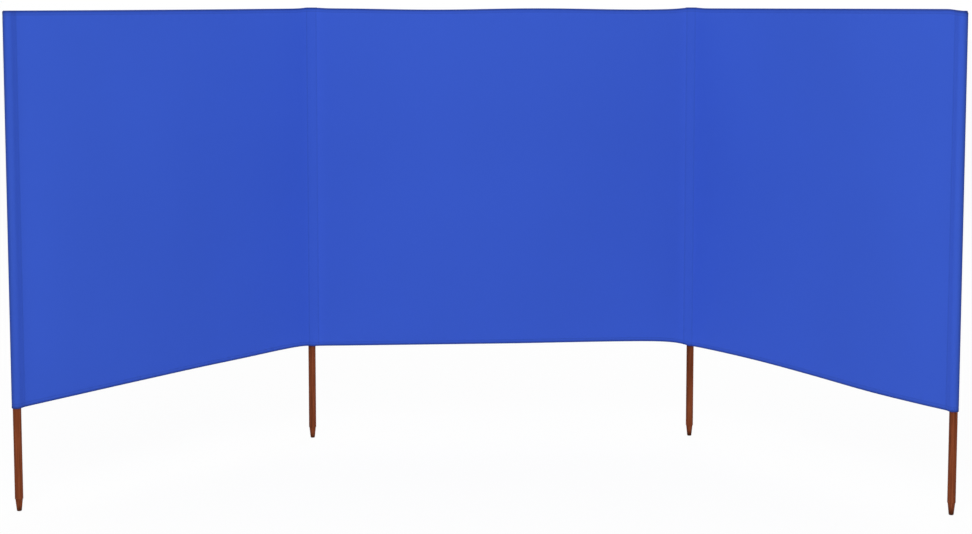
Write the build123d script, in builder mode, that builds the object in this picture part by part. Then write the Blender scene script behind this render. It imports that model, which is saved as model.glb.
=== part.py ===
from build123d import *
import math
import os

# A beach windbreak of three bays: four round wooden poles in the sewn pockets of one long strip of cloth.
# Millimetres, +Z up. The origin is the flat end of the left inner pole's tip. The middle bay runs along +X,
# and the side bays are turned forward, towards -Y.

# Poles, each turned from one length of wood
pole_length = 1500
pole_diameter = 25
pole_top_chamfer = 2
tip_length = 38
tip_shoulder_diameter = 22.6
tip_end_diameter = 14.5
tip_end_fillet = 3

# Bays, measured between the axes of neighbouring poles
bay_length = 1325
left_bay_turn = 51.5
right_bay_turn = 60.8

# Cloth, modelled thicker than the real fabric
cloth_height = 1185
cloth_thickness = 1.2
hem_height = 16
hem_thickness = 2.4

# Pockets, each a sleeve round its pole that narrows to a line of stitching
pocket_clearance = 0.3
pocket_wall = 1.2
stitch_distance = 24
seam_thickness = 2.4
pocket_top_thickness = 3

# The bend of the cloth round an inner pocket, left open as a running gap
fold_gap = 0.3

# Heights and radii that follow from these
cloth_bottom = pole_length - cloth_height
pole_radius = pole_diameter / 2
sleeve_inner_radius = pole_radius + pocket_clearance
sleeve_outer_radius = sleeve_inner_radius + pocket_wall

# Directions in plan: each side bay leads from its inner pole to its end pole
left_angle = 180 + left_bay_turn
right_angle = -right_bay_turn


def plan_direction(angle):
    """The level direction at an angle from +X, turning towards +Y."""
    return Vector(math.cos(math.radians(angle)), math.sin(math.radians(angle)), 0)


# The foot of each pole
left_inner_foot = Vector(0, 0, 0)
right_inner_foot = Vector(bay_length, 0, 0)
left_end_foot = left_inner_foot + plan_direction(left_angle) * bay_length
right_end_foot = right_inner_foot + plan_direction(right_angle) * bay_length

# Each pole's name, its foot and the direction in which its pocket is sewn to the cloth
pockets = {
    "left_end": (left_end_foot, plan_direction(left_angle) * -1),
    "left_inner": (left_inner_foot, plan_direction(0)),
    "right_inner": (right_inner_foot, plan_direction(0) * -1),
    "right_end": (right_end_foot, plan_direction(right_angle) * -1),
}

# Each bay's name, the foot that it is measured from, its direction and where its cloth starts and ends
seam_to_seam = bay_length - stitch_distance
bays = {
    "left": (left_inner_foot, plan_direction(left_angle), sleeve_outer_radius + fold_gap, seam_to_seam),
    "middle": (left_inner_foot, plan_direction(0), stitch_distance, seam_to_seam),
    "right": (right_inner_foot, plan_direction(right_angle), sleeve_outer_radius + fold_gap, seam_to_seam),
}

# Each strip of a bay's cloth: its lower and upper edge and its thickness
lower_hem_line = cloth_bottom + hem_height
upper_hem_line = pole_length - hem_height
strips = {
    "bottom_hem": (cloth_bottom, lower_hem_line, hem_thickness),
    "panel": (lower_hem_line, upper_hem_line, cloth_thickness),
    "top_hem": (upper_hem_line, pole_length, hem_thickness),
}

# Where the pocket's two straight flanks leave the sleeve, on tangents that end at the stitch line
seam_half = seam_thickness / 2
seam_reach = math.hypot(stitch_distance, seam_half)
tangent_angle = math.atan2(seam_half, stitch_distance) + math.acos(sleeve_outer_radius / seam_reach)
tangent_x = sleeve_outer_radius * math.cos(tangent_angle)
tangent_y = sleeve_outer_radius * math.sin(tangent_angle)

# The pocket's outline in plan: a round sleeve drawn out to the stitch line, which lies towards +X
with BuildSketch() as pocket_outline:
    with BuildLine():
        Polyline(
            (tangent_x, tangent_y),
            (stitch_distance, seam_half),
            (stitch_distance, -seam_half),
            (tangent_x, -tangent_y),
            close=True,
        )
    make_face()
    Circle(sleeve_outer_radius)

os.makedirs("parts", exist_ok=True)

for name, (foot, sewn_towards) in pockets.items():
    # The pole's half profile, from the tip's end up to the chamfered top, turned about the pole's axis
    with BuildPart() as pole:
        with BuildSketch(Plane(origin=foot, x_dir=(1, 0, 0), z_dir=(0, -1, 0))) as half_profile:
            with BuildLine():
                Polyline(
                    (0, 0),
                    (tip_end_diameter / 2, 0),
                    (tip_shoulder_diameter / 2, tip_length),
                    (pole_radius, tip_length),
                    (pole_radius, pole_length - pole_top_chamfer),
                    (pole_radius - pole_top_chamfer, pole_length),
                    (0, pole_length),
                    close=True,
                )
            make_face()
            fillet(half_profile.vertices().group_by(Axis.Y)[0].sort_by(Axis.X)[-1], tip_end_fillet)
        revolve(axis=Axis(foot, (0, 0, 1)))
    pole.part.label = f"{name}_pole"
    export_step(pole.part, f"parts/{name}_pole.step")

    # The pocket is open below, where the pole goes in
    pocket_plane = Plane(origin=foot, x_dir=sewn_towards, z_dir=(0, 0, 1))
    with BuildPart() as pocket:
        with BuildSketch(pocket_plane.offset(cloth_bottom)):
            add(pocket_outline.sketch)
            Circle(sleeve_inner_radius, mode=Mode.SUBTRACT)
        extrude(amount=cloth_height)
    pocket.part.label = f"{name}_pocket"
    export_step(pocket.part, f"parts/{name}_pocket.step")

    # The pocket's upper end is folded over and sewn shut on top of the pole
    with BuildPart() as pocket_top:
        with BuildSketch(pocket_plane.offset(pole_length)):
            add(pocket_outline.sketch)
        extrude(amount=pocket_top_thickness)
    pocket_top.part.label = f"{name}_pocket_top"
    export_step(pocket_top.part, f"parts/{name}_pocket_top.step")

for bay, (foot, direction, start, end) in bays.items():
    bay_plane = Plane(origin=foot, x_dir=direction, z_dir=(0, 0, 1))
    for strip, (low, high, thickness) in strips.items():
        with BuildPart() as cloth:
            with BuildSketch(bay_plane.offset(low)):
                with Locations(((start + end) / 2, 0)):
                    Rectangle(end - start, thickness)
            extrude(amount=high - low)
        cloth.part.label = f"{bay}_{strip}"
        export_step(cloth.part, f"parts/{bay}_{strip}.step")
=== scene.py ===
# %% [markdown]
# # A beach windbreak in three bays
# The real object is one long strip of blue polyester that stands on four stained wooden poles. The strip is
# turned back round each end pole and sewn down, a narrow strip sewn on behind holds each inner pole, and
# the upper and lower edges are hemmed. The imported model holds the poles, the bays and plain solids for the
# cloth, all at their real size. This lesson keeps the poles and gives them a finish, and replaces the plain
# cloth by thin sheets that are worked out with numpy.

# %% Load the frame
import math

import bpy
import numpy as np
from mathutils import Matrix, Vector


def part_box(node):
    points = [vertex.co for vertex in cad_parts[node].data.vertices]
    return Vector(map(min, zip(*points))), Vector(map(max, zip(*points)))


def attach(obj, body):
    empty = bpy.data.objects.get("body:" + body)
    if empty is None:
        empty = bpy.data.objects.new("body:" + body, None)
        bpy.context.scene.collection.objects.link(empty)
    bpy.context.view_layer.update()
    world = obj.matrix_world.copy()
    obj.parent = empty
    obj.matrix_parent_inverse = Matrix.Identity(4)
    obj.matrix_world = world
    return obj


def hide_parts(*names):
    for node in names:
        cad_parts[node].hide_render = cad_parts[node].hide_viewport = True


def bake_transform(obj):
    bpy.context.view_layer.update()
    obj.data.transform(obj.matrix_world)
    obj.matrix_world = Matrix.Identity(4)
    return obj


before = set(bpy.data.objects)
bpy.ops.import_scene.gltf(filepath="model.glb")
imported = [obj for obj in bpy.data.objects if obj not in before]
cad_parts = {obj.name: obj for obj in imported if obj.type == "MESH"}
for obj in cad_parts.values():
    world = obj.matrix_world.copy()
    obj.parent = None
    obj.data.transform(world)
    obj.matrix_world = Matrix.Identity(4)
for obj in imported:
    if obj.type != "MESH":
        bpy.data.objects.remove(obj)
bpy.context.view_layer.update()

# %% [markdown]
# ## What the frame says
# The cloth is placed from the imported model, so that it fits the poles without any fitting by eye. A pole's
# box gives its axis and its radius. Two neighbouring poles give a bay's direction, and turning that
# direction by a right angle gives the bay's front. The hems and the pockets give the heights and the stitch
# lines.

# %% Read the poles, the bays and the cloth's sizes
MILLIMETRE = 0.001

pole_names = ["left_end_pole", "left_inner_pole", "right_inner_pole", "right_end_pole"]


def plan_middle(node):
    """The middle of a node's box, seen from above."""
    low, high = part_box(node)
    return np.array(((low.x + high.x) / 2, (low.y + high.y) / 2))


def unit(vectors):
    """Vectors scaled to a length of 1."""
    return vectors / np.linalg.norm(vectors, axis=-1, keepdims=True)


def to_front(directions):
    """Level directions turned a right angle to the right, so that (x, y) gives (y, -x)."""
    return np.stack([directions[:, 1], -directions[:, 0]], axis=1)


pole_places = np.array([plan_middle(name) for name in pole_names])
bay_spans = np.diff(pole_places, axis=0)
bay_length = np.linalg.norm(bay_spans[1])
bay_along = unit(bay_spans)
bay_front = to_front(bay_along)

pole_low, pole_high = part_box("left_inner_pole")
pole_radius = (pole_high.x - pole_low.x) / 2
pole_top = pole_high.z
cloth_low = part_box("middle_bottom_hem")[0].z
cloth_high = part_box("middle_top_hem")[1].z
cloth_height = cloth_high - cloth_low
hem_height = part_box("middle_bottom_hem")[1].z - cloth_low
stitch_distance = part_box("left_inner_pocket")[1].x - pole_places[1, 0]
print("bay", round(bay_length, 4), "m, cloth", round(cloth_height, 4), "m")
print("stitch lines", round(stitch_distance, 4), "m from the poles")

# %% [markdown]
# ## The camera
# The photograph looks at the middle bay from a little to its left, from just above the poles' tops. A long
# lens from seven metres keeps the perspective of the side bays as gentle as it is there. The poles stand
# nearly upright in the picture, so part of the downward look is a lens shift and not a tilt. The shift is
# kept small, because the other views keep it too.

# %% Place the camera
camera_place = (0.425, -7.344, 1.5605)
camera_tilt_degrees = 6.13
camera_turn_degrees = -1.43
camera_lens_mm = 78.67
camera_sensor_mm = 36.0
camera_shift_share = -0.05
right_angle_degrees = 90.0


def add_object(name, data):
    """A new object in the scene, which holds a camera, a lamp or a mesh."""
    made = bpy.data.objects.new(name, data)
    bpy.context.scene.collection.objects.link(made)
    return made


camera_data = bpy.data.cameras.new("camera")
camera_data.lens = camera_lens_mm
camera_data.sensor_width = camera_sensor_mm
camera_data.shift_y = camera_shift_share
camera = add_object("camera", camera_data)
camera.location = camera_place
camera_turns = (right_angle_degrees - camera_tilt_degrees, 0, camera_turn_degrees)
camera.rotation_euler = np.radians(camera_turns)
bpy.context.scene.camera = camera
print("camera at", camera_place)

# %% [markdown]
# ## Floor and light
# The cloth in the photograph is lit almost evenly in all three bays, as in a bright white studio. A white
# world gives that even light. A wide soft lamp from the front left rounds the poles, and a weaker one
# behind keeps the back from going dull. The floor is plain and white. To the camera it is mostly a glow of
# strength 1, with a share of its own shaded surface mixed in, so that it stays white and still shows a
# faint shadow.

# %% Helpers that add nodes to a tree
def start_tree(owner):
    """The node tree of a material or a world, emptied."""
    owner.use_nodes = True
    owner.node_tree.nodes.clear()
    return owner.node_tree


def fill_socket(tree, socket, value):
    """Links a node's first output or a socket to an input socket, or writes a plain value into it."""
    if isinstance(value, bpy.types.Node):
        tree.links.new(value.outputs[0], socket)
    elif isinstance(value, bpy.types.NodeSocket):
        tree.links.new(value, socket)
    else:
        socket.default_value = value


def add_node(tree, kind, **inputs):
    """Adds a node and fills the input sockets that are named. An underscore stands for a space."""
    made = tree.nodes.new(kind)
    for name, value in inputs.items():
        fill_socket(tree, made.inputs[name.replace("_", " ")], value)
    return made


def add_math(tree, operation, first, second):
    """Adds a Math node with two inputs, each a node, a socket or a number."""
    made = tree.nodes.new("ShaderNodeMath")
    made.operation = operation
    fill_socket(tree, made.inputs[0], first)
    fill_socket(tree, made.inputs[1], second)
    return made


def mix_shaders(tree, share, first, second):
    """Adds a node that goes from a first shader to a second one by a share."""
    made = add_node(tree, "ShaderNodeMixShader", Fac=share)
    fill_socket(tree, made.inputs[1], first)
    fill_socket(tree, made.inputs[2], second)
    return made


print("helpers for node trees are ready")

# %% The world: white light, and a white background
WHITE = (1, 1, 1, 1)
world_light_strength = 0.60
background_strength = 1.0


def seen_directly(tree):
    """1 for rays from the camera, from a mirror-like surface or through glass, and 0 for the rays that
    carry light: the greatest of three outputs of the Light Path node."""
    path = tree.nodes.new("ShaderNodeLightPath")
    mirrored = add_math(tree, "MAXIMUM", path.outputs["Is Glossy Ray"], path.outputs["Is Transmission Ray"])
    return add_math(tree, "MAXIMUM", path.outputs["Is Camera Ray"], mirrored)


world = bpy.data.worlds.new("studio")
bpy.context.scene.world = world
world_tree = start_tree(world)
world_light = add_node(world_tree, "ShaderNodeBackground", Color=WHITE, Strength=world_light_strength)
world_white = add_node(world_tree, "ShaderNodeBackground", Color=WHITE, Strength=background_strength)
world_mix = mix_shaders(world_tree, seen_directly(world_tree), world_light, world_white)
add_node(world_tree, "ShaderNodeOutputWorld", Surface=world_mix)
bpy.context.scene.view_settings.view_transform = "Standard"
print("world light", world_light_strength)

# %% The floor
floor_reach = 60.0
floor_drop = 0.2 * MILLIMETRE
floor_white = (0.88, 0.88, 0.88, 1)
floor_glow_share = 0.94


def start_material(name):
    """A new material and its empty node tree."""
    material = bpy.data.materials.new(name)
    return material, start_tree(material)


def make_floor_material():
    """A pale matt floor: mostly a white glow to the camera, and a plain diffuse surface to other light."""
    material, tree = start_material("floor")
    matt = add_node(tree, "ShaderNodeBsdfDiffuse", Color=floor_white)
    glow = add_node(tree, "ShaderNodeEmission", Color=WHITE, Strength=background_strength)
    share = add_math(tree, "MULTIPLY", seen_directly(tree), floor_glow_share)
    add_node(tree, "ShaderNodeOutputMaterial", Surface=mix_shaders(tree, share, matt, glow))
    return material


floor_corners = np.array([(-1, -1), (1, -1), (1, 1), (-1, 1)]) * floor_reach
floor_points = np.column_stack([floor_corners, np.full(len(floor_corners), -floor_drop)])
floor_mesh = bpy.data.meshes.new("floor")
floor_mesh.from_pydata(floor_points.tolist(), [], [[0, 1, 2, 3]])
floor_mesh.materials.append(make_floor_material())
floor = add_object("floor", floor_mesh)
print("floor", 2 * floor_reach, "m wide")

# %% The lamps
front_turn_degrees = -9.0
front_height_degrees = 28.0
front_share = 0.56
back_turn_degrees = 165.0
back_height_degrees = 35.0
back_share = 0.30
lamp_distance = 7.0
lamp_width = 3.0


def lamp_watts(share, distance):
    """The power at which a wide lamp gives a matt surface that faces it this share of its written colour:
    the share, times pi squared, times the distance squared."""
    return share * math.pi**2 * distance**2


def add_lamp(name, turn_degrees, height_degrees, share):
    """A square softbox on a sphere round the cloth, turned from the front and raised, facing inwards."""
    data = bpy.data.lights.new(name, "AREA")
    data.size = lamp_width
    data.energy = lamp_watts(share, lamp_distance)
    lamp = add_object(name, data)
    turn = math.radians(turn_degrees)
    height = math.radians(height_degrees)
    level = math.cos(height)
    step = np.array((math.sin(turn) * level, -math.cos(turn) * level, math.sin(height)))
    aim = np.append(pole_places.mean(axis=0), (cloth_low + cloth_high) / 2)
    lamp.location = aim + lamp_distance * step
    lamp.rotation_euler = (math.radians(right_angle_degrees) - height, 0, turn)
    return lamp


front_lamp = add_lamp("front_lamp", front_turn_degrees, front_height_degrees, front_share)
back_lamp = add_lamp("back_lamp", back_turn_degrees, back_height_degrees, back_share)
print("lamps of", [round(lamp.data.energy, 1) for lamp in (front_lamp, back_lamp)], "W in front and behind")

# %% [markdown]
# ## The cloth's finish
# The strip is plain-woven polyester, dyed one blue. Close up it shows threads half a millimetre apart, and
# from far it is an even matt blue with hardly any shine. The weave follows the cloth, so it reads the
# sheet's own UV map, which is in metres. On top of the dye the blue carries painted shade along the folded
# edges, on and round the pockets and along the end pockets' outer folds, a thin dark line along each seam,
# and painted light in the side bays towards the inner poles, which lifts the shade in those corners. Each
# mesh stores that as an attribute named tone, which multiplies the dye.

# %% Helpers that make patterns and finishes
WAVE_NODE_STEP = 20.0


def add_bands(tree, coordinates, direction, pitch):
    """Sine bands one pitch apart. A Wave node's own bands are 2 pi over 20 apart at a scale of 1."""
    scale = 2 * math.pi / (WAVE_NODE_STEP * pitch)
    bands = add_node(tree, "ShaderNodeTexWave", Vector=coordinates, Scale=scale)
    bands.bands_direction = direction
    return bands


def add_noise(tree, coordinates, scale, detail):
    """Cloudy noise of a given scale, with finer noise added as often as the detail says."""
    return add_node(tree, "ShaderNodeTexNoise", Vector=coordinates, Scale=scale, Detail=detail)


def add_range(tree, value, shares):
    """Carries a value from 0 to 1 over to a range of shares."""
    return add_node(tree, "ShaderNodeMapRange", Value=value, To_Min=shares[0], To_Max=shares[1])


def add_tint(tree, dye, shade):
    """The output of a Mix node that multiplies a colour, written or from a node, by a grey shade."""
    mixed = tree.nodes.new("ShaderNodeMix")
    mixed.data_type = "RGBA"
    mixed.blend_type = "MULTIPLY"
    mixed.inputs["Factor"].default_value = 1.0
    colour_inputs = [socket for socket in mixed.inputs if socket.type == "RGBA"]
    fill_socket(tree, colour_inputs[0], dye)
    fill_socket(tree, colour_inputs[1], shade)
    return next(socket for socket in mixed.outputs if socket.type == "RGBA")


def add_bump(tree, height, share, distance, **inputs):
    """A Bump node: a height from 0 to 1, over a distance, of which a share counts."""
    return add_node(tree, "ShaderNodeBump", Height=height, Strength=share, Distance=distance, **inputs)


def finish_surface(tree, **inputs):
    """Ends a tree in a Principled shader with the inputs that are named."""
    surface = add_node(tree, "ShaderNodeBsdfPrincipled", **inputs)
    add_node(tree, "ShaderNodeOutputMaterial", Surface=surface)


print("helpers for finishes are ready")

# %% The blue cloth
cloth_blue = (0.0357, 0.0957, 0.535, 1)
cloth_roughness = 0.8
cloth_shine = 0.12
cloth_diffuse_roughness = 0.25
thread_pitch = 0.5 * MILLIMETRE
thread_bump_share = 0.12
thread_tone_shares = (0.95, 1.05)
blotch_scale = 1.5
blotch_detail = 2.0
blotch_tone_shares = (0.95, 1.05)
slub_scale = 70.0
slub_detail = 3.0
slub_bump_share = 0.05


def make_cloth_material():
    """Matt woven cloth: the dye, times the mesh's tone, a faint blotch and the threads' own light and
    shade. The threads are the difference between bands along the cloth and bands up it."""
    material, tree = start_material("blue_cloth")
    flat_map = tree.nodes.new("ShaderNodeUVMap")
    place = tree.nodes.new("ShaderNodeTexCoord")
    tone = tree.nodes.new("ShaderNodeAttribute")
    tone.attribute_name = "tone"
    warp = add_bands(tree, flat_map, "X", 2 * thread_pitch)
    weft = add_bands(tree, flat_map, "Y", 2 * thread_pitch)
    weave = add_math(tree, "ABSOLUTE", add_math(tree, "SUBTRACT", warp, weft), 0)
    blotch = add_noise(tree, place.outputs["Object"], blotch_scale, blotch_detail)
    shade = add_math(tree, "MULTIPLY", tone.outputs["Fac"], add_range(tree, blotch, blotch_tone_shares))
    shade = add_math(tree, "MULTIPLY", shade, add_range(tree, weave, thread_tone_shares))
    slub = add_noise(tree, flat_map, slub_scale, slub_detail)
    slub_bump = add_bump(tree, slub, slub_bump_share, MILLIMETRE)
    finish_surface(
        tree,
        Base_Color=add_tint(tree, cloth_blue, shade),
        Roughness=cloth_roughness,
        Specular_IOR_Level=cloth_shine,
        Diffuse_Roughness=cloth_diffuse_roughness,
        Normal=add_bump(tree, weave, thread_bump_share, thread_pitch, Normal=slub_bump),
    )
    return material


blue_cloth = make_cloth_material()
print("cloth finish", blue_cloth.name)

# %% [markdown]
# ## The thread's finish
# The seams are sewn with twisted thread in a slightly deeper blue than the cloth's. A stitch is under a
# millimetre wide, and modelling its twist would take many faces that nobody sees. So fine slanting bands in
# the colour and in the bump stand for it.

# %% The sewing thread
thread_blue = (0.028, 0.075, 0.41, 1)
thread_roughness = 0.6
twist_pitch = 0.8 * MILLIMETRE
twist_bump_share = 0.3


def make_thread_material():
    """Twisted sewing thread, dyed to the cloth, with fine slanting bands for its twist."""
    material, tree = start_material("sewing_thread")
    place = tree.nodes.new("ShaderNodeTexCoord")
    twist = add_bands(tree, place.outputs["Object"], "DIAGONAL", twist_pitch)
    finish_surface(
        tree,
        Base_Color=add_tint(tree, thread_blue, add_range(tree, twist, thread_tone_shares)),
        Roughness=thread_roughness,
        Specular_IOR_Level=cloth_shine,
        Normal=add_bump(tree, twist, twist_bump_share, twist_pitch),
    )
    return material


sewing_thread = make_thread_material()
print("thread finish", sewing_thread.name)

# %% [markdown]
# ## The poles' finish
# The poles are turned softwood, stained a brown red and rubbed almost matt. Stain sinks deeper into the
# open grain, so long dark streaks run up each pole. A Wave texture could draw them, but too evenly, so they
# are noise that is squeezed across the pole and stretched along it. The poles' own CAD shape is right, so
# they stay as they are and only take this material. The lowest part of each pole is darker.

# %% The stained wood
stain_dark = (0.070, 0.017, 0.006, 1)
stain_middle = (0.168, 0.040, 0.0135, 1)
stain_light = (0.255, 0.070, 0.027, 1)
stain_stop_shares = (0.34, 0.52, 0.70)
grain_stretch_share = 0.035
grain_scale = 420.0
grain_detail = 4.0
grain_weight_share = 0.45
grain_bump_share = 0.25
streak_scale = 90.0
streak_detail = 2.0
wood_roughness_shares = (0.5, 0.68)
wood_shine = 0.04
tip_dark_height = 20.0 * MILLIMETRE
tip_dark_share = 0.25


def add_stain(tree, figure):
    """Carries the wood's figure over three tones of stain, from dark to light, at the named stops."""
    stain = add_node(tree, "ShaderNodeValToRGB", Fac=figure)
    stops = stain.color_ramp.elements
    stops[0].position = stain_stop_shares[0]
    stops[0].color = stain_dark
    stops[1].position = stain_stop_shares[2]
    stops[1].color = stain_light
    stops.new(stain_stop_shares[1]).color = stain_middle
    return stain


def make_wood_material():
    """Stained wood: the weighted sum of fine grain and broad streaks, both long in Z, carried over the
    stain. The stain is multiplied by a share that rises evenly from the tip's end to 1."""
    material, tree = start_material("stained_wood")
    place = tree.nodes.new("ShaderNodeTexCoord").outputs["Object"]
    stretched = add_node(tree, "ShaderNodeMapping", Vector=place, Scale=(1, 1, grain_stretch_share))
    grain = add_noise(tree, stretched, grain_scale, grain_detail)
    streak = add_noise(tree, stretched, streak_scale, streak_detail)
    fine = add_math(tree, "MULTIPLY", grain, grain_weight_share)
    broad = add_math(tree, "MULTIPLY", streak, 1 - grain_weight_share)
    stain = add_stain(tree, add_math(tree, "ADD", fine, broad))
    height = add_node(tree, "ShaderNodeSeparateXYZ", Vector=place).outputs["Z"]
    # Darker over the lowest 20 mm of each pole.
    tip_darkening = add_range(tree, height, (tip_dark_share, 1))
    tip_darkening.inputs["From Max"].default_value = tip_dark_height
    finish_surface(
        tree,
        Base_Color=add_tint(tree, stain, tip_darkening),
        Roughness=add_range(tree, grain, wood_roughness_shares),
        Specular_IOR_Level=wood_shine,
        Normal=add_bump(tree, grain, grain_bump_share, MILLIMETRE),
    )
    return material


stained_wood = make_wood_material()
for pole_name in pole_names:
    pole_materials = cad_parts[pole_name].data.materials
    pole_materials.clear()
    pole_materials.append(stained_wood)
print("wood finish on", len(pole_names), "poles")

# %% [markdown]
# ## The strip's line, seen from above
# Seen from above, the strip is one long line. It starts behind the left end pole, goes round it, runs along
# the three bays and ends behind the right end pole. It could be drawn as a Bezier curve, but the pockets
# need exact stitch points, so the line is written as straight runs and arcs, and then softened by averaging
# each point with its neighbours. At the inner poles the cloth only bends, because the pocket there is a
# second strip sewn on behind.

# %% The line round an end pole, and the line of a bay
sleeve_clearance = 1.4 * MILLIMETRE
end_slack = 0.75 * MILLIMETRE
seam_front = 8.0 * MILLIMETRE
seam_back = 5.4 * MILLIMETRE
seam_margin = 8.0 * MILLIMETRE
path_step = 0.5 * MILLIMETRE

sleeve_radius = pole_radius + sleeve_clearance


def arc_points(centre, radius, first, last):
    """Points on a circle from one angle to another, about one path step apart."""
    count = int(abs(last - first) * radius / path_step)
    angles = np.linspace(first, last, count)
    return centre + radius * np.stack([np.cos(angles), np.sin(angles)], axis=1)


def tangent_angle(point, centre, radius, side):
    """The angle on a circle where the tangent from a point touches it, on one side (1) or the other (-1):
    the angle towards the point, plus or less the arc cosine of the radius over the distance."""
    across, forward = np.subtract(point, centre)
    return math.atan2(forward, across) + side * math.acos(radius / math.hypot(across, forward))


def end_pocket_line():
    """Local points (into the bay, to its front) of the cloth round an end pole: the seam margin, the
    tangent from the back stitch point to the pocket's round end, the arc round the pole, and the tangent to
    the front stitch point."""
    centre = np.array((-end_slack, 0))
    radius = sleeve_radius + end_slack
    front_stitch = (stitch_distance, seam_front)
    back_stitch = (stitch_distance, seam_back)
    margin_end = (stitch_distance + seam_margin, seam_back)
    first = tangent_angle(back_stitch, centre, radius, -1)
    last = tangent_angle(front_stitch, centre, radius, 1) - 2 * math.pi
    round_end = arc_points(centre, radius, first, last)
    return np.concatenate([[margin_end, back_stitch], round_end, [front_stitch]])


def in_plan(local, pole, along, front):
    """Local points in the plan: the pole's place, plus so much along the bay, plus so much to its front."""
    return pole_places[pole] + local[:, :1] * along + local[:, 1:] * front


def bay_line(bay):
    """The cloth of a bay between its two stitch lines. It stands in front of the poles' line by the seam's
    distance at both ends, and by a parabola less towards the middle, where it meets the line."""
    share = np.linspace(0, 1, int(bay_length / path_step))
    reach = stitch_distance + share * (bay_length - 2 * stitch_distance)
    proud = seam_front * (1 - 4 * share * (1 - share))
    return in_plan(np.stack([reach, proud], axis=1), bay, bay_along[bay], bay_front[bay])


left_pocket_line = in_plan(end_pocket_line(), 0, bay_along[0], bay_front[0])
right_pocket_line = in_plan(end_pocket_line(), 3, -bay_along[2], bay_front[2])[::-1]
runs = [left_pocket_line, bay_line(0), bay_line(1), bay_line(2), right_pocket_line]
print("runs of", [len(run) for run in runs], "points")

# %% Join the runs, and find the stitch lines and bends along them
def lengths_along(points):
    """The length of a line from its start to each of its points."""
    return np.append(0, np.cumsum(np.linalg.norm(np.diff(points, axis=0), axis=1)))


def at_lengths(places, lengths, points):
    """What a line holds at given lengths along it, evenly between its known points."""
    return np.stack([np.interp(places, lengths, points[:, axis]) for axis in range(2)], axis=-1)


corners = np.concatenate(runs)
corner_lengths = lengths_along(corners)
strip_length = corner_lengths[-1]
run_ends = np.cumsum([len(run) for run in runs])
left_stitch, right_stitch = corner_lengths[run_ends[0] - 1], corner_lengths[run_ends[3]]
left_bend_out, left_bend_in = corner_lengths[run_ends[1] - 1], corner_lengths[run_ends[1]]
right_bend_in, right_bend_out = corner_lengths[run_ends[2] - 1], corner_lengths[run_ends[2]]
left_bend = (left_bend_out + left_bend_in) / 2
right_bend = (right_bend_in + right_bend_out) / 2
left_outermost = seam_margin + (left_stitch - seam_margin) / 2
right_outermost = strip_length - left_outermost
print("strip", round(strip_length, 4), "m long, pockets take", round(left_stitch, 4), "m at each end")

# %% Soften the bends
bend_softness = 13.0 * MILLIMETRE
pocket_softness = 2.0 * MILLIMETRE
bend_reach = 0.11
bend_power = 4
averaging_spreads = 4


def bell(along, centre, reach, power=2):
    """A bell, 1 at its centre and 1 / e at its reach: e to the minus distance over reach, to a power."""
    return np.exp(-(np.abs((along - centre) / reach) ** power))


def averaged(path, spread):
    """The path with each point replaced by a bell-weighted mean of its neighbours. Both ends are first
    carried on straight, so that they stay where they are."""
    reach = int(averaging_spreads * spread / path_step)
    steps = np.arange(-reach, reach + 1)
    weights = np.exp(-0.5 * (steps * path_step / spread) ** 2)
    before = path[0] + (path[1] - path[0]) * np.arange(-reach, 0)[:, None]
    after = path[-1] + (path[-1] - path[-2]) * np.arange(1, reach + 1)[:, None]
    longer = np.concatenate([before, path, after])
    means = [np.convolve(longer[:, axis], weights / weights.sum(), mode="valid") for axis in range(2)]
    return np.stack(means, axis=1)


path_lengths = np.linspace(0, strip_length, int(strip_length / path_step))
raw_path = at_lengths(path_lengths, corner_lengths, corners)
bend_nearness = sum(bell(path_lengths, bend, bend_reach, bend_power) for bend in (left_bend, right_bend))
crisp_path = averaged(raw_path, pocket_softness)
soft_path = averaged(raw_path, bend_softness)
strip_path = crisp_path + bend_nearness[:, None] * (soft_path - crisp_path)
path_fronts = to_front(unit(np.gradient(strip_path, axis=0)))
most_moved = float(np.abs(strip_path - raw_path).max())
print("line of", len(strip_path), "points, moved by up to", round(most_moved, 4), "m")

# %% [markdown]
# ## The strip as a surface
# With the line settled, the whole strip is a function of two parameters: how far along the strip, and how
# far up it. The upper and lower edges aren't quite straight on the real one. The lower edge of the middle
# bay is drawn up towards its right pole, and the right top corner droops over its pole. The cloth is nearly
# taut, so its waves are only a few millimetres deep, and it is drawn in a little along each line of
# stitching.

# %% The lower edge
left_lift = 9.5 * MILLIMETRE
left_lift_start_share = 0.035
middle_lift = 19.0 * MILLIMETRE
middle_lift_power = 1.6
middle_lift_end_share = 0.045
right_lift = 5.0 * MILLIMETRE
left_pole_lift = 12.0 * MILLIMETRE
right_pole_lift = 8.0 * MILLIMETRE


def bay_shares(along):
    """How far a place lies through its bay, as shares: out from the left bend, across the middle bay and
    out from the right bend. A place in another bay gives 0 or 1."""
    left = np.clip((left_bend - along) / bay_length, 0, 1)
    middle = np.clip((along - left_bend) / (right_bend - left_bend), 0, 1)
    right = np.clip((along - right_bend) / bay_length, 0, 1)
    return left, middle, right


def lower_lift(along):
    """How far the lower edge is drawn up. It is held up by a little at both inner poles, evenly less
    towards the end poles. Left: steeply up beside the bend, then evenly down to the end. Middle: a power of
    the share, let down just before the right pole. Right: one sine wave."""
    left, middle, right = bay_shares(along)
    lift = left_pole_lift * (1 - left) * (1 - middle) + right_pole_lift * middle * (1 - right)
    lift = lift + left_lift * (1 - left) * (1 - np.exp(-left / left_lift_start_share))
    let_down = 1 - np.exp((middle - 1) / middle_lift_end_share)
    lift = lift + middle_lift * middle**middle_lift_power * let_down
    return lift + right_lift * np.sin(2 * np.pi * right)


print("lower edge lifts up to", round(float(lower_lift(path_lengths).max()), 4), "m")

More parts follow.
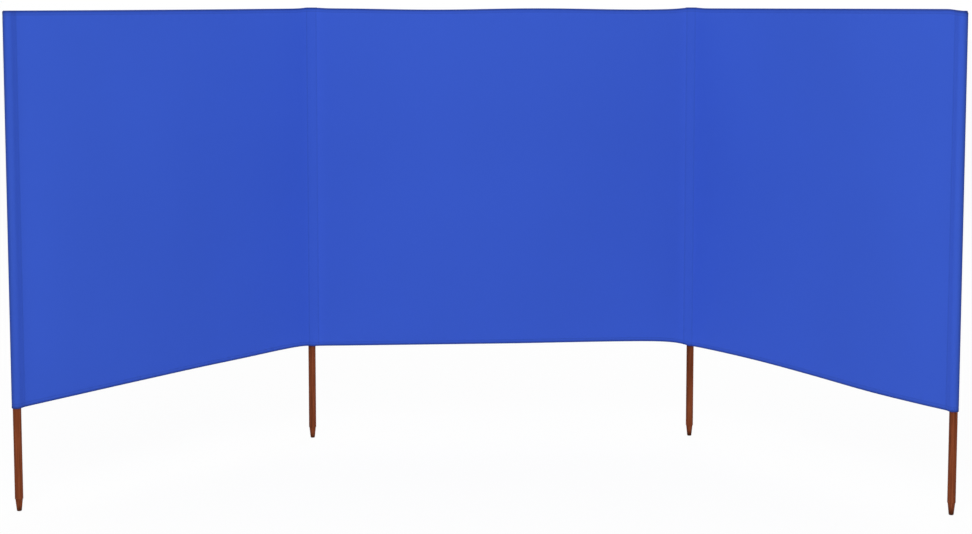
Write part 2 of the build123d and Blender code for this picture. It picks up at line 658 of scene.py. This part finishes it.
# %% The upper edge
edge_dip = 1.5 * MILLIMETRE
left_sag = 1.0 * MILLIMETRE
left_rise = 2.5 * MILLIMETRE
middle_sag = 2.2 * MILLIMETRE
middle_sag_crest_share = 0.595
middle_sag_period_share = 0.55
middle_sag_start_share = 0.05
right_rise = 7.5 * MILLIMETRE
pole_peak = 3.0 * MILLIMETRE
pole_peak_reach = 45.0 * MILLIMETRE
cap_clearance = 0.9 * MILLIMETRE
cap_level_reach = 60.0 * MILLIMETRE
cap_level_power = 4
left_corner_droop = 2.5 * MILLIMETRE
right_corner_droop = 6.0 * MILLIMETRE
corner_behind = 7.0 * MILLIMETRE
corner_droop_reach = 15.0 * MILLIMETRE

left_corner = left_outermost - corner_behind
right_corner = right_outermost + corner_behind


def upper_lift(along):
    """How far the upper edge stands over the pole tops' level. It lies a little under them, sags by sine
    waves in the left and middle bays, rises evenly in the side bays and peaks at the inner poles. Round
    each end pole it comes level with the pocket's top, and droops at the corner."""
    left, middle, right = bay_shares(along)
    lift = -edge_dip - left_sag * np.sin(np.pi * left) + left_rise * left + right_rise * right
    window = 1 - np.exp(-middle / middle_sag_start_share)
    window = window * (1 - np.exp((middle - 1) / middle_sag_start_share))
    wave = 1 - np.cos(2 * np.pi * (middle - middle_sag_crest_share) / middle_sag_period_share)
    lift = lift - middle_sag * window * wave
    for bend in (left_bend, right_bend):
        lift = lift + pole_peak * bell(along, bend, pole_peak_reach)
    for outermost in (left_outermost, right_outermost):
        lift = lift + (cap_clearance - lift) * bell(along, outermost, cap_level_reach, cap_level_power)
    lift = lift - left_corner_droop * bell(along, left_corner, corner_droop_reach)
    return lift - right_corner_droop * bell(along, right_corner, corner_droop_reach)


print("upper edge sags up to", round(float(-upper_lift(path_lengths).min()), 4), "m")

# %% The waves of the cloth and the pull of its seams
wave_depth = 2.4 * MILLIMETRE
wave_depth_shares = (0.5, 0.3, 0.2)
wave_lengths_along = (0.93, 0.51, 0.37)
wave_lengths_up = (2.9, -1.7, 0.8)
wave_starts = (0.0, 1.0, 2.2)
wave_quiet_reach = 0.16
pucker_depth = 0.5 * MILLIMETRE
hem_pucker_pitch = 36.0 * MILLIMETRE
seam_pucker_pitch = 52.0 * MILLIMETRE
pucker_reach = 16.0 * MILLIMETRE
pucker_slant = 0.8
pucker_sway = 1.8
pucker_sway_length = 0.62
seam_pull = 0.3 * MILLIMETRE
seam_pull_reach = 2.5 * MILLIMETRE
hem_stitch = 13.0 * MILLIMETRE

stitch_places = np.array(
    [left_stitch, left_bend_out, left_bend_in, right_bend_in, right_bend_out, right_stitch]
)


def nearest_stitch(along):
    """The distance along the strip to the nearest pocket stitch line."""
    return np.min(np.abs(np.asarray(along)[..., None] - stitch_places), axis=-1)


def in_inner_pocket(along):
    """True on the front of an inner pocket."""
    left = (along > left_bend_out) & (along < left_bend_in)
    right = (along > right_bend_in) & (along < right_bend_out)
    return left | right


def on_single_cloth(along):
    """True on a bay's single cloth: between the end pockets' stitches, and outside the inner pockets."""
    return (along >= left_stitch) & (along <= right_stitch) & ~in_inner_pocket(along)


def hem_distance(up):
    """The distance to the nearer hem's stitch line."""
    return np.minimum(np.abs(up - hem_stitch), np.abs(cloth_height - hem_stitch - up))


def puckers(place, gap, pitch):
    """A sine wave along a seam, with a swaying pitch. Its ridges slant, and die out away from the seam."""
    sway = pucker_sway * np.sin(2 * np.pi * place / pucker_sway_length)
    return np.sin(2 * np.pi * (place + pucker_slant * gap) / pitch + sway) * np.exp(-gap / pucker_reach)


def cloth_waves(along, up):
    """How far the cloth stands out. Three slanting sine waves a metre or less long die out at the pockets.
    Short puckers run along the hems and the pocket seams. Each stitch line lies in a narrow groove."""
    single = on_single_cloth(along)
    hem_gap = hem_distance(up)
    seam_gap = nearest_stitch(along)
    calm = (1 - bell(seam_gap, 0, wave_quiet_reach)) * single
    wave = 0
    for share, length_along, length_up, start in zip(
        wave_depth_shares, wave_lengths_along, wave_lengths_up, wave_starts
    ):
        wave = wave + share * np.sin(2 * np.pi * (along / length_along + up / length_up) + start)
    pucker = puckers(along, hem_gap, hem_pucker_pitch) * calm
    pucker = pucker + puckers(up, seam_gap, seam_pucker_pitch) * single
    groove = bell(hem_gap, 0, seam_pull_reach) + bell(seam_gap, 0, seam_pull_reach)
    return wave_depth * wave * calm + pucker_depth * pucker - seam_pull * groove


half_way_waves = cloth_waves(path_lengths, cloth_height / 2)
print("waves stand out by up to", round(float(np.abs(half_way_waves).max()), 4), "m")

# %% A point of the strip
def strip_point(along, up, depth):
    """A point of the strip: the line's place, plus the waves less the depth, out along the line's front.
    Its height is the height up the flat strip, plus the edges' lifts, each fading to the other edge."""
    out = np.asarray(cloth_waves(along, up) - depth)[..., None]
    plan = at_lengths(along, path_lengths, strip_path) + out * at_lengths(along, path_lengths, path_fronts)
    share = up / cloth_height
    height = cloth_low + up + lower_lift(along) * (1 - share) + upper_lift(along) * share
    return np.concatenate([plan, np.asarray(height)[..., None]], axis=-1)


print("middle of the strip", strip_point(strip_length / 2, cloth_height / 2, 0).round(4))

# %% [markdown]
# ## From a grid to a sheet
# A grid of points has no thickness. Blender's Solidify modifier could give it one, but it rounds the
# shading over the sheet's thin rim. Here each point is moved half the thickness to both sides along the
# grid's own normal, and a rim joins the two layers. Edges that turn sharply are then marked, so that the
# faces stay smooth and the rim stays crisp.

# %% Helpers that make a thick sheet
cloth_thickness = 0.5 * MILLIMETRE
sharp_edge_degrees = 60.0


def grid_normals(points):
    """Unit normals of a grid: the step along a row, crossed with the step from row to row."""
    return unit(np.cross(np.gradient(points, axis=1), np.gradient(points, axis=0)))


def sheet_faces(rows, columns):
    """The corners of every face: the outer layer, the inner layer turned round, and the rim between."""
    layer = rows * columns
    index = np.arange(layer).reshape(rows, columns)
    face_corners = [index[:-1, :-1], index[:-1, 1:], index[1:, 1:], index[1:, :-1]]
    outer = np.stack(face_corners, axis=-1).reshape(-1, 4)
    edge = np.concatenate([index[0, :-1], index[:-1, -1], index[-1, :0:-1], index[:0:-1, 0]])
    following = np.roll(edge, -1)
    rim = np.stack([following, edge, edge + layer, following + layer], axis=-1)
    return np.concatenate([outer, outer[:, ::-1] + layer, rim])


def make_object(name, points, faces, material):
    """A mesh object from arrays of points and four-cornered faces, shaded smooth up to sharp edges."""
    mesh = bpy.data.meshes.new(name)
    mesh.from_pydata(points.tolist(), [], faces.tolist())
    mesh.shade_smooth()
    mesh.set_sharp_from_angle(angle=math.radians(sharp_edge_degrees))
    mesh.materials.append(material)
    return add_object(name, mesh)


def make_sheet(name, points, flat_places, tones):
    """A thick sheet from a grid of points, with flat places as its UV map and tones as an attribute."""
    rows, columns, axes = points.shape
    outwards = grid_normals(points) * cloth_thickness / 2
    layers = np.concatenate([(points + outwards).reshape(-1, axes), (points - outwards).reshape(-1, axes)])
    faces = sheet_faces(rows, columns)
    made = make_object(name, layers, faces, blue_cloth)
    flat = np.tile(flat_places.reshape(-1, 2), (2, 1))
    made.data.uv_layers.new(name="flat_cloth").data.foreach_set("uv", flat[faces.ravel()].ravel())
    tone = made.data.attributes.new("tone", "FLOAT", "POINT")
    tone.data.foreach_set("value", np.tile(tones.ravel(), 2))
    print(name, rows, "rows", columns, "columns", len(made.data.polygons), "faces")
    return made


print("the smallest sheet has", len(sheet_faces(2, 2)), "faces")

# %% [markdown]
# ## The three bays' cloth
# The real strip is one piece, but the side bays have to swing, so the model has three sheets that meet at
# the pocket seams of the middle bay. Each sheet is a grid of the strip's two parameters. Its rows start
# behind the lower hem, go round the fold, up the front, over the upper fold and down behind the upper hem.
# So the hems are real folds, and they look right from behind as well.

# %% Rows of the strip: hem, fold, front, fold, hem
fold_radius = 0.45 * MILLIMETRE
hem_rows = 4
fold_degrees = np.array((45.0, 90.0, 135.0))
edge_stops = np.array((0.45, 3.0, 8.0, 18.0)) * MILLIMETRE
edge_steps = np.array((0.85, 1.7, 2.0)) * MILLIMETRE
front_row_step = 9.2 * MILLIMETRE


def spaced(stops, steps):
    """Places from stop to stop, with about one given step between neighbours in each stretch."""
    stretches = [
        np.linspace(first, last, max(2, int(round((last - first) / step)) + 1))[:-1]
        for first, last, step in zip(stops[:-1], stops[1:], steps)
    ]
    return np.append(np.concatenate(stretches), stops[-1])


fold_turn = np.radians(fold_degrees)
fold_up = fold_radius * (1 - np.sin(fold_turn))
fold_depth = fold_radius * (1 + np.cos(fold_turn))
hem_depth = np.full(hem_rows, 2 * fold_radius)
hem_up = np.linspace(hem_height, fold_radius, hem_rows)
front_stops = np.concatenate([edge_stops, cloth_height - edge_stops[::-1]])
front_steps = np.concatenate([edge_steps, [front_row_step], edge_steps[::-1]])
front_up = spaced(front_stops, front_steps)
row_up = np.concatenate([hem_up, fold_up, front_up, cloth_height - fold_up, cloth_height - hem_up[::-1]])
row_depth = np.concatenate([hem_depth, fold_depth, np.zeros(len(front_up)), fold_depth[::-1], hem_depth])
row_flat = lengths_along(np.stack([row_up, row_depth], axis=1))

# %% Tone of the cloth: painted shade along folds and on the pockets, seam lines, painted light at the bends
hem_tone = 1.03
# Painted shade that fades from each folded edge; the end pockets' tops take it too.
painted_edge_shade = 0.45
painted_edge_shade_reach = 6.5 * MILLIMETRE
# Painted shade round the end pockets, stronger round the left one.
left_end_painted_shade = 0.18
right_end_painted_shade = 0.06
end_painted_shade_reach = 50.0 * MILLIMETRE
# Painted shade along the end pockets' outer folds.
outer_fold_painted_shade = 0.48
outer_fold_shade_reach = 13.0 * MILLIMETRE
# Painted shade on the inner pockets, where the pole stands behind the cloth.
inner_pocket_painted_shade = 0.945
hem_seam_tone_drop = 0.17
hem_seam_reach = 1.8 * MILLIMETRE
pocket_seam_tone_drop = 0.09
pocket_seam_reach = 2.2 * MILLIMETRE
# Painted light in the side bays towards the inner poles, which lifts the shade in those corners.
left_bend_painted_light = 0.09
right_bend_painted_light = 0.075
bay_painted_light_reach = 0.55
middle_painted_light_reach = 0.03


def strip_tones(along, up):
    """The dye's share at a place: a product of the hem's share, painted shade that fades from each folded
    edge, painted shade on the inner pockets, round the end pockets and along their outer folds, a thin dark
    line along each row of stitches, and painted light in the side bays towards the inner poles, a bell with
    a long outer and a short inner reach, which lifts the shade in those corners."""
    edge_gap = np.minimum(up, cloth_height - up)
    tone = np.where(edge_gap < hem_height, hem_tone, 1.0)
    # Painted shade at the folded edges.
    tone = tone * (1 - (1 - painted_edge_shade) * bell(edge_gap, 0, painted_edge_shade_reach))
    # Painted shade on the inner pockets.
    tone = tone * np.where(in_inner_pocket(along), inner_pocket_painted_shade, 1.0)
    # Painted shade round the end pockets.
    tone = tone * (1 - left_end_painted_shade * bell(along, left_outermost, end_painted_shade_reach))
    tone = tone * (1 - right_end_painted_shade * bell(along, right_outermost, end_painted_shade_reach))
    # Painted shade along the end pockets' outer folds.
    outer_fold_shade = bell(along, left_corner, outer_fold_shade_reach) + bell(along, right_corner, outer_fold_shade_reach)
    tone = tone * (1 - outer_fold_painted_shade * outer_fold_shade)
    tone = tone * (1 - hem_seam_tone_drop * bell(hem_distance(up), 0, hem_seam_reach))
    tone = tone * (1 - pocket_seam_tone_drop * bell(nearest_stitch(along), 0, pocket_seam_reach))
    # Painted light: the side bays grow lighter towards the inner poles.
    left_reach = np.where(along < left_bend, bay_painted_light_reach, middle_painted_light_reach)
    right_reach = np.where(along > right_bend, bay_painted_light_reach, middle_painted_light_reach)
    tone = tone * (1 + left_bend_painted_light * bell(along, left_bend, left_reach))
    return tone * (1 + right_bend_painted_light * bell(along, right_bend, right_reach))


half_way_tones = strip_tones(path_lengths, cloth_height / 2)
print("tones half-way up", half_way_tones.min().round(3), "to", half_way_tones.max().round(3))

# %% Make the three sheets
pocket_column_step = 2.5 * MILLIMETRE
panel_column_step = 6.0 * MILLIMETRE
bend_column_step = 2.0 * MILLIMETRE
seam_band = 8.0 * MILLIMETRE


def make_strip_piece(name, columns):
    """One sheet of the strip between its first and last column, as a grid of rows up and columns along."""
    along, up = np.meshgrid(columns, row_up)
    depth = np.broadcast_to(row_depth[:, None], along.shape)
    flat_places = np.stack([along, np.broadcast_to(row_flat[:, None], along.shape)], axis=-1)
    return make_sheet(name, strip_point(along, up, depth), flat_places, strip_tones(along, up))


left_columns = spaced(
    [0, left_stitch + seam_band, left_bend_out - seam_band, left_bend_in],
    [pocket_column_step, panel_column_step, bend_column_step],
)
middle_columns = spaced(
    [left_bend_in, left_bend_in + seam_band, right_bend_in - seam_band, right_bend_in],
    [bend_column_step, panel_column_step, bend_column_step],
)
right_columns = spaced(
    [right_bend_in, right_bend_out + seam_band, right_stitch - seam_band, strip_length],
    [bend_column_step, panel_column_step, pocket_column_step],
)
left_cloth = make_strip_piece("left_cloth", left_columns)
middle_cloth = make_strip_piece("middle_cloth", middle_columns)
right_cloth = make_strip_piece("right_cloth", right_columns)

# %% [markdown]
# ## The inner pockets
# At each inner pole a second, narrow strip is sewn on behind the cloth. It runs from a seam in one bay
# round the back of the pole to a seam in the other bay, and its upper end is folded forward over the pole's
# top and sewn shut. It could be extruded from a curve, but its top has to meet the front cloth's own line.
# So it is again a line seen from above, carried up, with a few more rows that carry the line forward over
# the pole's top.

# %% The line of an inner pocket, from the right seam round the back to the left seam
sleeve_points = 61
sleeve_margin = 5.0 * MILLIMETRE


def inner_pocket_line(pole):
    """Plan points of the pocket's back at an inner pole, and the line's length: margin and stitch point in
    the right bay, the tangent to the pole's sleeve, the arc round its back, the tangent to the left stitch
    point, and the left margin."""
    place = pole_places[pole]
    right_along, right_front = bay_along[pole], bay_front[pole]
    left_along, left_front = -bay_along[pole - 1], bay_front[pole - 1]
    right_stitch_point = place + stitch_distance * right_along + seam_back * right_front
    left_stitch_point = place + stitch_distance * left_along + seam_back * left_front
    first = tangent_angle(right_stitch_point, place, sleeve_radius, 1)
    last = tangent_angle(left_stitch_point, place, sleeve_radius, -1) + 2 * math.pi
    line = np.concatenate(
        [
            [right_stitch_point + sleeve_margin * right_along, right_stitch_point],
            arc_points(place, sleeve_radius, first, last),
            [left_stitch_point, left_stitch_point + sleeve_margin * left_along],
        ]
    )
    lengths = lengths_along(line)
    return at_lengths(np.linspace(0, lengths[-1], sleeve_points), lengths, line), lengths[-1]


left_sleeve_line, left_sleeve_width = inner_pocket_line(1)
right_sleeve_line, right_sleeve_width = inner_pocket_line(2)
print("inner pockets", round(left_sleeve_width, 4), "and", round(right_sleeve_width, 4), "m wide, laid flat")

# %% Make the pockets' backs
roof_shares = np.array((0.012, 0.03, 0.055, 0.09, 0.14, 0.21, 0.32, 0.48, 0.66, 0.84, 1.0))
roof_power = 9
roof_rise = 3.0 * MILLIMETRE
roof_tuck = 1.2 * MILLIMETRE
# Painted shade on the inner pockets' roofs, as on the folded edges.
roof_painted_shade_share = 0.72
sleeve_top_drop = 1.5 * MILLIMETRE
sleeve_hem_height = 10.0 * MILLIMETRE
sleeve_lower_gap = 6.0 * MILLIMETRE


def make_inner_pocket(name, line, width, bend_first, bend_last):
    """The pocket's back as a grid. Its rows go up behind a lower hem, round its fold and up the sleeve. The
    roof's rows then step from the sleeve's line to the front cloth's line, and rise as 1 - (1 -
    share)^power."""
    outward = to_front(unit(np.gradient(line, axis=0)))
    lower_edge = lower_lift((bend_first + bend_last) / 2) + sleeve_lower_gap
    sleeve_height = cloth_height - sleeve_top_drop - lower_edge
    hem = np.linspace(sleeve_hem_height, fold_radius, hem_rows)
    wall = spaced([fold_radius, sleeve_height], [front_row_step])
    up = np.concatenate([hem, fold_up, wall])
    depth = np.concatenate([hem_depth, fold_depth, np.zeros(len(wall))])
    plan = line[None] - depth[:, None, None] * outward[None]
    front = strip_point(np.linspace(bend_first, bend_last, sleeve_points), cloth_height, roof_tuck)[:, :2]
    roof_plan = line[None] + roof_shares[:, None, None] * (front - line)[None]
    roof_up = sleeve_height + roof_rise * (1 - (1 - roof_shares) ** roof_power)
    all_plan = np.concatenate([plan, roof_plan])
    all_up = np.concatenate([up, roof_up])
    height = np.broadcast_to((cloth_low + lower_edge + all_up)[:, None, None], all_plan.shape[:2] + (1,))
    flat_along = np.broadcast_to(np.linspace(0, width, sleeve_points), all_plan.shape[:2])
    flat_up = np.concatenate([up, sleeve_height + roof_shares * sleeve_radius])
    flat_places = np.stack([flat_along, np.broadcast_to(flat_up[:, None], flat_along.shape)], axis=-1)
    # Painted shade of the inner pockets.
    tones = np.full(flat_along.shape, inner_pocket_painted_shade)
    # The roof takes more painted shade.
    tones[len(up) :] *= roof_painted_shade_share
    return make_sheet(name, np.concatenate([all_plan, height], axis=-1), flat_places, tones)


left_inner_sleeve = make_inner_pocket(
    "left_inner_sleeve", left_sleeve_line, left_sleeve_width, left_bend_in, left_bend_out
)
right_inner_sleeve = make_inner_pocket(
    "right_inner_sleeve", right_sleeve_line, right_sleeve_width, right_bend_out, right_bend_in
)

# %% [markdown]
# ## The end pockets' tops
# The strip itself goes round the end poles, so there the pocket only needs its top. The real one is sewn
# shut over the pole. A flat lid would look like card, so the piece is a shallow vault between the pocket's
# back and front: a grid from the stitch line to the outermost point, and from the back to the front, that
# is highest in the middle and falls to the cloth's edge all round.

# %% Make the end pockets' tops
cap_columns = 41
cap_rows = 21
cap_power = 22
cap_edge_drop = 1.0 * MILLIMETRE
cap_end_gap = 1.2 * MILLIMETRE
tuck_depth = 1.6 * MILLIMETRE
tuck_gap_share = 0.4
cap_level = pole_top + cap_clearance


def make_end_cap(name, back, front, turned, tone):
    """The vault: rows step from the back line to the front line. Its height falls from the pocket's top to
    the edge by 1 - (1 - across^power)(1 - share^power), where across is -1 to 1 from back to front. The
    right end's columns are turned round, so that its faces point outwards."""
    share = np.linspace(0, 1, cap_columns)
    across = np.sin(np.linspace(-np.pi / 2, np.pi / 2, cap_rows))
    gap = np.linalg.norm(strip_point(front, cloth_height, 0) - strip_point(back, cloth_height, 0), axis=-1)
    tuck = np.minimum(tuck_depth, tuck_gap_share * gap)
    back_edge = strip_point(back, cloth_height, tuck)
    front_edge = strip_point(front, cloth_height, tuck)
    step = ((across + 1) / 2)[:, None, None]
    points = back_edge[None] * (1 - step) + front_edge[None] * step
    fall = 1 - (1 - np.abs(across[:, None]) ** cap_power) * (1 - share[None] ** cap_power)
    edge = points[:, :, 2] - cap_edge_drop
    points[:, :, 2] = cap_level - (cap_level - edge) * fall
    if turned:
        points = points[:, ::-1]
    return make_sheet(name, points, points[:, :, :2], np.full(points.shape[:2], tone))


# The end pockets' tops take the painted shade of the folded edges and of the end pockets.
left_end_cap = make_end_cap(
    "left_end_cap",
    np.linspace(seam_margin, left_outermost - cap_end_gap, cap_columns),
    np.linspace(left_stitch, left_outermost + cap_end_gap, cap_columns),
    False,
    (1 - left_end_painted_shade) * painted_edge_shade,
)
right_end_cap = make_end_cap(
    "right_end_cap",
    np.linspace(strip_length - seam_margin, right_outermost + cap_end_gap, cap_columns),
    np.linspace(right_stitch, right_outermost - cap_end_gap, cap_columns),
    True,
    (1 - right_end_painted_shade) * painted_edge_shade,
)

# %% [markdown]
# ## The stitching
# Rows of straight stitches hold the hems and the pockets, on the front and on the back. Each stitch is a
# short bar of thread with tapered ends that dip into the cloth. Thousands of them could be instances of one
# object, but a single mesh from arrays is simpler to carry along when the bays swing. Each bar has four
# rings of four corners.

# %% A mesh of many stitches
stitch_length = 3.7 * MILLIMETRE
stitch_width = 0.8 * MILLIMETRE
stitch_height = 0.5 * MILLIMETRE
stitch_dip = 0.25 * MILLIMETRE
ring_shares = np.array((-1.0, -0.6, 0.6, 1.0))
ring_size_shares = np.array((0.3, 1.0, 1.0, 0.3))
corner_across = np.array((1.0, 0.0, -1.0, 0.0))
corner_up = np.array((0.0, 1.0, 0.0, -1.0))


def stitch_faces(count):
    """Faces of all bars: the sides between neighbouring rings, and the two ends. Each bar's points follow
    those of the bar before."""
    index = np.arange(ring_shares.size * corner_up.size).reshape(ring_shares.size, corner_up.size)
    following = np.roll(index, -1, axis=1)
    sides = np.stack([index[:-1], following[:-1], following[1:], index[1:]], axis=-1).reshape(-1, 4)
    one_bar = np.concatenate([sides, index[:1, ::-1], index[-1:]])
    return (one_bar[None] + index.size * np.arange(count)[:, None, None]).reshape(-1, 4)


def make_stitching(name, rows):
    """One mesh of thread bars. A bar's point is its centre, plus a share of its length along the row, plus
    its corner's share of the width across and of the height out, less a dip into the cloth at both ends."""
    centre, along, normal = [np.concatenate(parts)[:, None, None] for parts in zip(*rows)]
    across = np.cross(normal, along)
    size = ring_size_shares[:, None, None]
    points = centre + along * ring_shares[:, None, None] * stitch_length / 2
    points = points + across * corner_across[:, None] * size * stitch_width / 2
    points = points + normal * corner_up[:, None] * size * stitch_height / 2
    points = points - normal * (1 - size) * stitch_dip
    made = make_object(name, points.reshape(-1, 3), stitch_faces(len(centre)), sewing_thread)
    print(name, len(centre), "stitches")
    return made


print("a stitch has", len(stitch_faces(1)), "faces")

# %% Rows of stitches along the hems and up the pockets
stitch_pitch = 5.0 * MILLIMETRE
probe_step = 0.5 * MILLIMETRE
hem_lines = (hem_stitch, cloth_height - hem_stitch)
UPWARDS = (0.0, 0.0, 1.0)


def stitch_row(along, up, depth, upwards, side):
    """Centres, directions and outward normals of a row of stitches. The strip's two tangents are taken over
    a short step, and the normal is their cross product, to the front (1) or the back (-1)."""
    along, up = np.broadcast_arrays(np.asarray(along, float), np.asarray(up, float))
    sideways = unit(strip_point(along + probe_step, up, depth) - strip_point(along - probe_step, up, depth))
    upright = unit(strip_point(along, up + probe_step, depth) - strip_point(along, up - probe_step, depth))
    normal = side * unit(np.cross(sideways, upright))
    centre = strip_point(along, up, depth) + normal * cloth_thickness / 2
    return centre, upright if upwards else sideways, normal


def hem_rows_between(first, last):
    """Four rows of stitches along the hems: lower and upper, on the front and on the back of the fold."""
    along = np.arange(first + stitch_pitch / 2, last, stitch_pitch)
    rows = [stitch_row(along, up, 0, False, 1) for up in hem_lines]
    return rows + [stitch_row(along, up, 2 * fold_radius, False, -1) for up in hem_lines]


def pocket_rows(places):
    """A row of stitches up the strip's outer face at each place along it, from hem to hem."""
    up = np.arange(hem_lines[0], hem_lines[1], stitch_pitch)
    return [stitch_row(place, up, 0, True, 1) for place in places]


def sleeve_row(pole, bay):
    """One row of stitches up the middle of an inner pocket's flat margin, on the side of a bay: the pole's
    place, plus the way to the margin, on the cloth's rear face, at even steps from over the lower hem to
    the upper hem."""
    towards = bay_along[bay] if bay == pole else -bay_along[bay]
    reach = stitch_distance + sleeve_margin / 2
    place = pole_places[pole] + reach * towards + (seam_back - cloth_thickness / 2) * bay_front[bay]
    height = cloth_low + np.arange(2 * hem_stitch, cloth_height - hem_stitch, stitch_pitch)
    centre = np.column_stack([np.broadcast_to(place, (len(height), 2)), height])
    rearward = np.append(-bay_front[bay], 0)
    return centre, np.broadcast_to(UPWARDS, centre.shape), np.broadcast_to(rearward, centre.shape)


print("a row up a pocket has", len(sleeve_row(1, 1)[0]), "stitches")

# %% Sew the hems and the pockets
left_stitching = make_stitching(
    "left_stitching",
    hem_rows_between(0, left_bend_in)
    + pocket_rows((seam_margin, left_stitch, left_bend_out, left_bend_in))
    + [sleeve_row(1, 0)],
)
middle_stitching = make_stitching(
    "middle_stitching",
    hem_rows_between(left_bend_in, right_bend_in) + [sleeve_row(1, 1), sleeve_row(2, 1)],
)
right_stitching = make_stitching(
    "right_stitching",
    hem_rows_between(right_bend_in, strip_length)
    + pocket_rows((strip_length - seam_margin, right_stitch, right_bend_out, right_bend_in))
    + [sleeve_row(2, 2)],
)

# %% [markdown]
# ## What moves with what
# The middle cloth and its stitching ride on the middle bay, and each end pocket's top rides on its side bay.
# The side bays' cloth, their inner pockets' backs and their stitching keep their places, with their
# transforms baked into their meshes.


for piece in (left_cloth, left_inner_sleeve, left_stitching):
    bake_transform(piece)
for piece in (right_cloth, right_inner_sleeve, right_stitching):
    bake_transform(piece)
for piece in (middle_cloth, middle_stitching):
    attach(piece, "middle_bay")
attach(left_end_cap, "left_bay")
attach(right_end_cap, "right_bay")

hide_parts("left_bottom_hem", "left_panel", "left_top_hem", "left_end_pocket")
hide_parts("middle_bottom_hem", "middle_panel", "middle_top_hem")
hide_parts("right_bottom_hem", "right_panel", "right_top_hem", "right_end_pocket")
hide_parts("left_inner_pocket", "left_inner_pocket_top")
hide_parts("right_inner_pocket", "right_inner_pocket_top")
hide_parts("left_end_pocket_top")
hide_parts("right_end_pocket_top")
